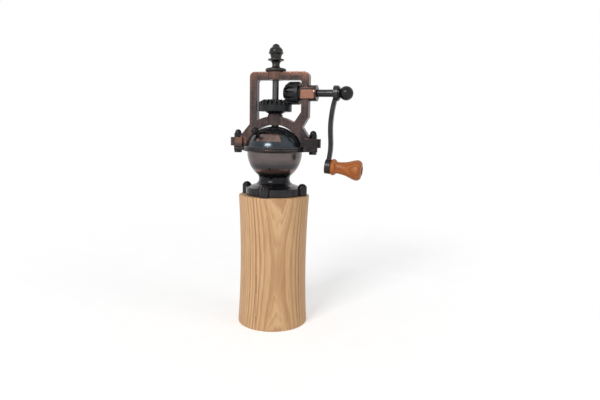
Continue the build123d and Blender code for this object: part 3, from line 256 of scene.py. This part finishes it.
def bowl_painted_reflections(net, colour, rim, broad, middle):
    """Tones on the bowl that are partly its patina and partly painted reflection bands: grey brown
    above, slate below, a reddish band low down and a black neck.
    """
    z = net.split(net.place)[2]
    soft = net.plus(z, net.ramp(broad, 0.2, 0.8, -0.0007, 0.0007))
    # painted reflections: grey brown above and slate below, with horizontal streaks
    rings = net.noise(700, 3, 0.6, stretch=(0.05, 0.05, 1.0))
    body = net.mix(net.ramp(soft, 0.1440, 0.1500), (0.046, 0.045, 0.049), (0.150, 0.122, 0.118))
    body = net.mix(net.ramp(rings, 0.35, 0.70, 0.0, 0.50), body, (0.070, 0.060, 0.060))
    # painted reflection: the reddish band low on the bowl
    band = net.times(
        net.between(soft, REFLECTION_BAND_FOOT, REFLECTION_BAND_TOP, 0.0009), net.ramp(rings, 0.25, 0.6, 0.75, 1.0)
    )
    body = net.mix(band, body, (0.235, 0.140, 0.115))
    bowl = net.times(
        net.ramp(soft, 0.1362, 0.1385), net.ramp(z, RIM_FOOT, RIM_FOOT + 0.0006, 1.0, 0.0)
    )
    # the black neck, painted as one more dark reflection band
    neck = net.between(z, NECK_FOOT, NECK_TOP, 0.0014)
    colour = net.mix(net.times(neck, 0.85), colour, (0.010, 0.009, 0.011))
    # the rim's lip: partly rubbed copper, partly a painted highlight
    lip = net.times(net.between(z, LIP_FOOT, LIP_TOP, 0.0003), net.ramp(broad, 0.4, 0.6), 0.6)
    return net.mix(bowl, colour, body), net.most(rim, lip)


def steel(name, colour, rough, metallic=0.9, turned=0.6):
    """Darkened steel with fine turning marks and a few brighter rubs."""
    net = new_net(name)
    broad = net.noise(160, 4, 0.6)
    fine = net.noise(2600, 3, 0.6)
    lines = net.noise(900, 2, 0.5, stretch=(1.0, 1.0, 5.0))
    light = tuple(min(1.0, c * 2.1 + 0.03) for c in colour)
    rim = net.times(net.edges(0.0005), net.ramp(broad, 0.35, 0.6), 0.5)
    tone = net.mix(net.ramp(broad, 0.42, 0.72, 0.0, 0.45), colour, light)
    tone = net.mix(rim, tone, light)
    tone = net.mix(net.ramp(fine, 0.6, 0.85, 0.0, 0.5), tone, scaled(colour, 0.4))
    height = net.plus(net.times(fine, 0.4), net.times(lines, turned))
    return net.surface(
        Base_Color=tone, Metallic=metallic,
        Roughness=net.ramp(lines, 0.25, 0.75, rough - 0.07, rough + 0.12),
        Normal=net.bump(height, 0.16, 0.00015, 0.0003),
    )


# ---------------------------------------------------------------- woods

RING_WIDTH = 0.00190
HEART_REACH = 0.150  # how far behind the body's axis the tree's heart lies
GRAIN_FRONT = radians(-90 + VIEW_AZIMUTH + 8)  # the side whose rings lie flat to the surface
WAIST_RADIUS, WAIST_RING = 0.02995, 40.80  # the ring that the body's waist cuts on that side
WAIST_Z, HALF_LENGTH = 0.062, 0.056
BODY_TOP = 0.118
STREAK_TURN = radians(-99.5)  # the side that the dark streak is on
STREAK_FOOT, STREAK_TOP = 0.008, 0.056


def ash(name):
    """Light open-grained wood, sawn so its rings run straight at the sides and arch in front."""
    net = new_net(name)
    x, y, z = net.split(net.place)
    light, dark, deep = (0.770, 0.500, 0.270), (0.425, 0.203, 0.090), (0.30, 0.133, 0.054)
    sway = net.noise(34, 2, 0.5, stretch=(1, 1, 0.16))
    wobble = net.noise(170, 2, 0.5, stretch=(1, 1, 0.13))

    # the distance from the tree's heart, and from it the number of the ring
    across = net.plus(net.times(x, -sin(GRAIN_FRONT)), net.times(y, cos(GRAIN_FRONT)))
    along = net.plus(net.times(x, cos(GRAIN_FRONT)), net.times(y, sin(GRAIN_FRONT)), HEART_REACH)
    radius = net.math("SQRT", net.plus(net.times(across, across), net.times(along, along)))
    bow = net.math("POWER", net.times(net.plus(z, -WAIST_Z), 1 / HALF_LENGTH), 2.0)
    radius = net.plus(
        radius, net.times(bow, 0.0001), net.ramp(sway, 0.2, 0.8, -0.00070, 0.00070),
        net.ramp(wobble, 0.2, 0.8, -0.00022, 0.00022),
    )
    inward = net.math("SUBTRACT", HEART_REACH + WAIST_RADIUS, radius)
    count = net.plus(net.math("DIVIDE", inward, RING_WIDTH), WAIST_RING)

    # each ring's late wood is darker, by more in some years, with thinner lines between
    ring = net.math("FRACT", count)
    year = net.add(
        "ShaderNodeTexWhiteNoise", {"W": net.math("FLOOR", count)}, noise_dimensions="1D"
    ).outputs["Value"]
    late = net.times(
        net.ramp(ring, 0.30, 0.78), net.ramp(ring, 0.88, 1.0, 1.0, 0.0),
        net.ramp(year, 0.0, 1.0, 0.55, 1.0),
    )
    part = net.math("FRACT", net.times(count, 4.0))
    thin = net.times(
        net.ramp(part, 0.30, 0.75), net.ramp(part, 0.85, 1.0, 1.0, 0.0),
        net.ramp(wobble, 0.3, 0.7, 0.14, 0.48),
    )
    broad = net.noise(30, 2, 0.5, stretch=(1, 1, 0.3))
    base = net.mix(net.ramp(broad, 0.35, 0.65), light, (0.705, 0.443, 0.227))
    colour = net.mix(net.most(late, thin), base, dark)

    # fibres, and pores in the early wood
    fibre = net.noise(1500, 3, 0.65, stretch=(1, 1, 0.035))
    colour = net.mix(net.ramp(fibre, 0.42, 0.75, 0.0, 0.30), colour, deep)
    colour = net.mix(net.ramp(fibre, 0.25, 0.45, 0.25, 0.0), colour, (0.84, 0.62, 0.38))
    pores = net.noise(2600, 1, 0.5, stretch=(1, 1, 0.05))
    pore = net.times(net.ramp(pores, 0.66, 0.74), net.ramp(ring, 0.0, 0.30, 1.0, 0.12))
    colour = net.mix(net.times(pore, 0.5), colour, deep)

    # the dark streak low in front, and the end grain on top
    beside = net.math("ABSOLUTE", net.plus(
        net.times(x, sin(STREAK_TURN)), net.times(y, -cos(STREAK_TURN)),
        net.ramp(sway, 0.2, 0.8, -0.0006, 0.0006),
    ))
    streak = net.times(
        net.ramp(beside, 0.00012, 0.00052, 1.0, 0.0), net.ramp(y, -0.02, -0.015, 1.0, 0.0),
        net.between(z, STREAK_FOOT, STREAK_TOP, 0.006),
        net.ramp(net.noise(260, 2, 0.5), 0.3, 0.55, 0.35, 1.0), 0.72,
    )
    colour = net.mix(streak, colour, (0.115, 0.085, 0.038))
    ends = net.ramp(z, BODY_TOP - 0.00005, BODY_TOP, 0.0, 0.35)
    colour = net.mix(ends, colour, (0.42, 0.27, 0.15))

    height = net.plus(net.times(late, 0.35), net.times(fibre, 0.5), net.times(pore, -0.8))
    return net.surface(
        Base_Color=colour, Roughness=net.ramp(fibre, 0.3, 0.7, 0.44, 0.58),
        Specular_IOR_Level=0.35, Normal=net.bump(height, 0.28, 0.0002, 0.0006),
    )


KNOB_ORIGIN = (0.0494, 0.0, 0.1453)
KNOB_TILT = radians(5.5)
KNOB_RING_WIDTH = 0.0026
KNOB_HEART = 0.021  # how far above the knob's axis the heart of its wood lies


def stained(name):
    """Orange-brown polished wood whose grain runs along the knob."""
    net = new_net(name)
    axis = Vector((cos(KNOB_TILT), 0, -sin(KNOB_TILT)))
    turn = tuple(axis.to_track_quat("Z", "Y").to_euler())
    own = net.add(
        "ShaderNodeMapping", {"Vector": net.place, "Location": KNOB_ORIGIN, "Rotation": turn},
        vector_type="TEXTURE",
    ).outputs[0]
    x, y, z = net.split(own)
    sway = net.noise(90, 2, 0.5, place=own, stretch=(1, 1, 0.25))
    radius = net.plus(
        x, KNOB_HEART, net.ramp(sway, 0.2, 0.8, -0.0016, 0.0016), net.times(net.times(y, y), 14.0)
    )
    ring = net.math("FRACT", net.math("DIVIDE", radius, KNOB_RING_WIDTH))
    late = net.times(net.ramp(ring, 0.25, 0.85), net.ramp(ring, 0.9, 1.0, 1.0, 0.0))
    fibre = net.noise(1700, 2, 0.6, place=own, stretch=(1, 1, 0.03))
    colour = net.mix(net.times(late, 0.65), (0.45, 0.137, 0.026), (0.25, 0.060, 0.011))
    colour = net.mix(net.ramp(fibre, 0.45, 0.75, 0.0, 0.35), colour, (0.19, 0.050, 0.012))
    colour = net.mix(net.ramp(fibre, 0.25, 0.42, 0.22, 0.0), colour, (0.55, 0.20, 0.048))
    end = net.ramp(z, 0.0270, 0.0292, 0.0, 0.4)
    colour = net.mix(end, colour, (0.24, 0.075, 0.02))
    height = net.plus(net.times(fibre, 0.5), net.times(late, 0.5))
    return net.surface(
        Base_Color=colour, Roughness=net.ramp(fibre, 0.3, 0.7, 0.36, 0.46),
        Specular_IOR_Level=0.30, Coat_Weight=0.10, Coat_Roughness=0.20,
        Normal=net.bump(height, 0.08, 0.00012, 0.0004),
    )


# ---------------------------------------------------------------- which piece wears what

looks = {
    "wood": ash("body_ash"),
    "knob": stained("knob_stained_wood"),
    "flange": antique(
        "bowl_black_bronze", (0.018, 0.016, 0.019), (0.046, 0.042, 0.045), (0.20, 0.115, 0.085),
        rough=0.21, wear=0.7, edge=0.2, grain=0.6, zones=bowl_painted_reflections),
    "dome": antique(
        "dome_dark_bronze", (0.030, 0.040, 0.047), (0.066, 0.078, 0.088), (0.30, 0.15, 0.10),
        rough=0.18, wear=0.5, edge=0.3, grain=0.25),
    "door": antique(
        "door_copper_brown", (0.145, 0.098, 0.090), (0.275, 0.178, 0.158), (0.36, 0.19, 0.14),
        rough=0.26, wear=0.9, edge=0.3, grain=0.4),
    "frame": antique(
        "frame_bronze", (0.040, 0.033, 0.036), (0.102, 0.064, 0.055), (0.40, 0.185, 0.118),
        rough=0.27, wear=0.8, edge=0.45, grain=0.6, zones=frame_wear_and_painted_light),
    "gear": antique(
        "gear_black", (0.009, 0.010, 0.011), (0.024, 0.025, 0.027), (0.12, 0.085, 0.075),
        rough=0.42, wear=0.6, edge=0.3, grain=1.0, metallic=0.6),
    "arm": antique(
        "crank_black_bronze", (0.023, 0.022, 0.023), (0.060, 0.056, 0.058), (0.16, 0.10, 0.08),
        rough=0.32, wear=0.6, edge=0.3, grain=0.7),
    "ball": antique(
        "crank_ball_black", (0.013, 0.013, 0.014), (0.036, 0.035, 0.037), (0.12, 0.085, 0.07),
        rough=0.28, wear=0.6, edge=0.2, grain=0.5),
    "finial": antique(
        "finial_dark_bronze", (0.022, 0.022, 0.021), (0.070, 0.066, 0.062), (0.22, 0.15, 0.11),
        rough=0.29, wear=0.6, edge=0.4, grain=0.5),
    "screw": antique(
        "screws_black", (0.014, 0.014, 0.016), (0.044, 0.042, 0.044), (0.10, 0.08, 0.07),
        rough=0.27, wear=0.6, edge=0.35, grain=0.4),
    "spindle": steel("spindle_dark_steel", (0.088, 0.087, 0.088), 0.30),
    "bush": steel("bush_bronze", (0.060, 0.040, 0.036), 0.34),
    "housing": steel("housing_cast_alloy", (0.46, 0.46, 0.47), 0.48, turned=0.2),
    "burr": steel("burr_ground_steel", (0.24, 0.24, 0.25), 0.34),
    "spring": steel("spring_bright_steel", (0.48, 0.48, 0.49), 0.24),
}
WEARERS = {
    "wood": ("wood_body",),
    "knob": ("crank_knob",),
    "flange": ("hopper_bowl",),
    "dome": ("hopper_dome",),
    "door": ("filling_door",),
    "frame": ("frame_bracket",),
    "gear": ("bevel_gear", "bevel_pinion"),
    "arm": ("crank_arm", "crank_shaft"),
    "ball": ("crank_nut",),
    "finial": ("finial",),
    "screw": (
        "flange_screws", "clamp_bolts", "acorn_nuts", "door_knob", "door_clip",
        "pinion_set_screw", "knob_pin",
    ),
    "spindle": ("spindle", "burr_nut", "housing_screws"),
    "bush": ("hub_bush", "top_bush", "crank_bush", "gear_washer"),
    "housing": ("grinder_housing",),
    "burr": ("outer_burr", "inner_burr"),
    "spring": ("burr_spring",),
}
for look, names in WEARERS.items():
    for name in names:
        mesh = nodes[name].data
        if not mesh.materials:
            mesh.materials.append(looks[look])
        for slot in nodes[name].material_slots:
            slot.material = looks[look]


# ---------------------------------------------------------------- camera

CAMERA_DISTANCE, CAMERA_HEIGHT = 0.4461, 0.1761
CAMERA_SHIFT = 0.00045  # how far the camera stands left of the line through the body's axis
YAW, PITCH, ROLL = radians(-3.09), radians(8.03), radians(1.23)
FOCAL_PIXELS, IMAGE_WIDTH, SENSOR_WIDTH = 494.3, 600, 36.0

azimuth = radians(VIEW_AZIMUTH)
aside = Vector((cos(azimuth), sin(azimuth), 0))
outward = Vector((sin(azimuth), -cos(azimuth), 0))
spot = outward * CAMERA_DISTANCE - aside * CAMERA_SHIFT + Vector((0, 0, CAMERA_HEIGHT))
heading = azimuth + YAW
forward = Vector((-sin(heading) * cos(PITCH), cos(heading) * cos(PITCH), -sin(PITCH)))
level = Vector((cos(heading), sin(heading), 0))
upright = level.cross(forward)
right = cos(ROLL) * level + sin(ROLL) * upright
up = -sin(ROLL) * level + cos(ROLL) * upright

lens = bpy.data.cameras.new("camera")
lens.sensor_width = SENSOR_WIDTH
lens.lens = SENSOR_WIDTH * FOCAL_PIXELS / IMAGE_WIDTH
lens.clip_start, lens.clip_end = 0.02, 40.0
camera = bpy.data.objects.new("camera", lens)
scene.collection.objects.link(camera)
turned = Matrix((right, up, -forward)).transposed().to_4x4()
camera.matrix_world = Matrix.Translation(spot) @ turned
scene.camera = camera


# ---------------------------------------------------------------- floor, light, background

FLOOR_HALF = 6.0
GLOW = 0.66  # what the camera sees of the floor's own light, far from the lamps
LIT_X, LIT_Y, LIT_SPREAD = -0.05, -0.35, 1.6  # the spot that the lamps light most, and its size
LIT_GLOW = 0.30  # how much less the floor glows at that spot
WORLD_LIGHT, WORLD_SEEN = 0.43, 1.0


def floor_material():
    """Pale floor that the camera sees as white, with the object's soft shadow on it.

    The glow that the camera sees is least at the spot under the lamps, where they light it most.
    """
    net = new_net("studio_floor")
    grain = net.ramp(net.noise(40, 3, 0.5), 0.3, 0.7)
    tone = net.mix(grain, (0.80, 0.80, 0.80), (0.82, 0.82, 0.82))
    matt = net.add("ShaderNodeBsdfDiffuse", {"Color": tone}).outputs[0]
    x, y, z = net.split(net.place)
    off_x = net.plus(x, -LIT_X)
    off_y = net.plus(y, -LIT_Y)
    reach = net.plus(net.times(off_x, off_x), net.times(off_y, off_y))
    fall = net.math("POWER", net.plus(1.0, net.times(reach, 1 / LIT_SPREAD)), 2.0)
    glow = net.math("SUBTRACT", GLOW, net.math("DIVIDE", LIT_GLOW, fall))
    light = net.add(
        "ShaderNodeEmission", {"Color": (1.0, 1.0, 1.0), "Strength": net.times(net.seen(), glow)}
    ).outputs[0]
    return net.close(net.add("ShaderNodeAddShader", {0: matt, 1: light}).outputs[0])


floor_mesh = bpy.data.meshes.new("floor")
corners = [(sx * FLOOR_HALF, sy * FLOOR_HALF, 0) for sx, sy in ((-1, -1), (1, -1), (1, 1), (-1, 1))]
floor_mesh.from_pydata(corners, [], [(0, 1, 2, 3)])
floor = bpy.data.objects.new("floor", floor_mesh)
scene.collection.objects.link(floor)
floor_mesh.materials.append(floor_material())

scene.world = bpy.data.worlds.new("studio")
sky = Net(scene.world)
sky_strength = sky.ramp(sky.seen(), 0.0, 1.0, WORLD_LIGHT, WORLD_SEEN)
backdrop = sky.add(
    "ShaderNodeBackground", {"Color": (1.0, 1.0, 1.0), "Strength": sky_strength}
).outputs[0]
sky.close(backdrop, "ShaderNodeOutputWorld")


def lamp(name, place, aim, power, width, height):
    data = bpy.data.lights.new(name, "AREA")
    data.energy, data.shape, data.size, data.size_y = power, "RECTANGLE", width, height
    light = bpy.data.objects.new(name, data)
    light.location = place
    light.rotation_euler = (Vector(aim) - Vector(place)).to_track_quat("-Z", "Y").to_euler()
    scene.collection.objects.link(light)
    return light


lamp("key", (-0.300, -1.320, 0.92), (0, 0, 0.12), 12.5, 0.60, 0.34)
side_lamp = lamp("side", (1.15, -0.25, 0.55), (0, 0, 0.14), 2.2, 0.5, 0.9)
side_lamp.visible_glossy = False  # the photograph's dome shows no light on its right

scene.view_settings.view_transform = "Standard"
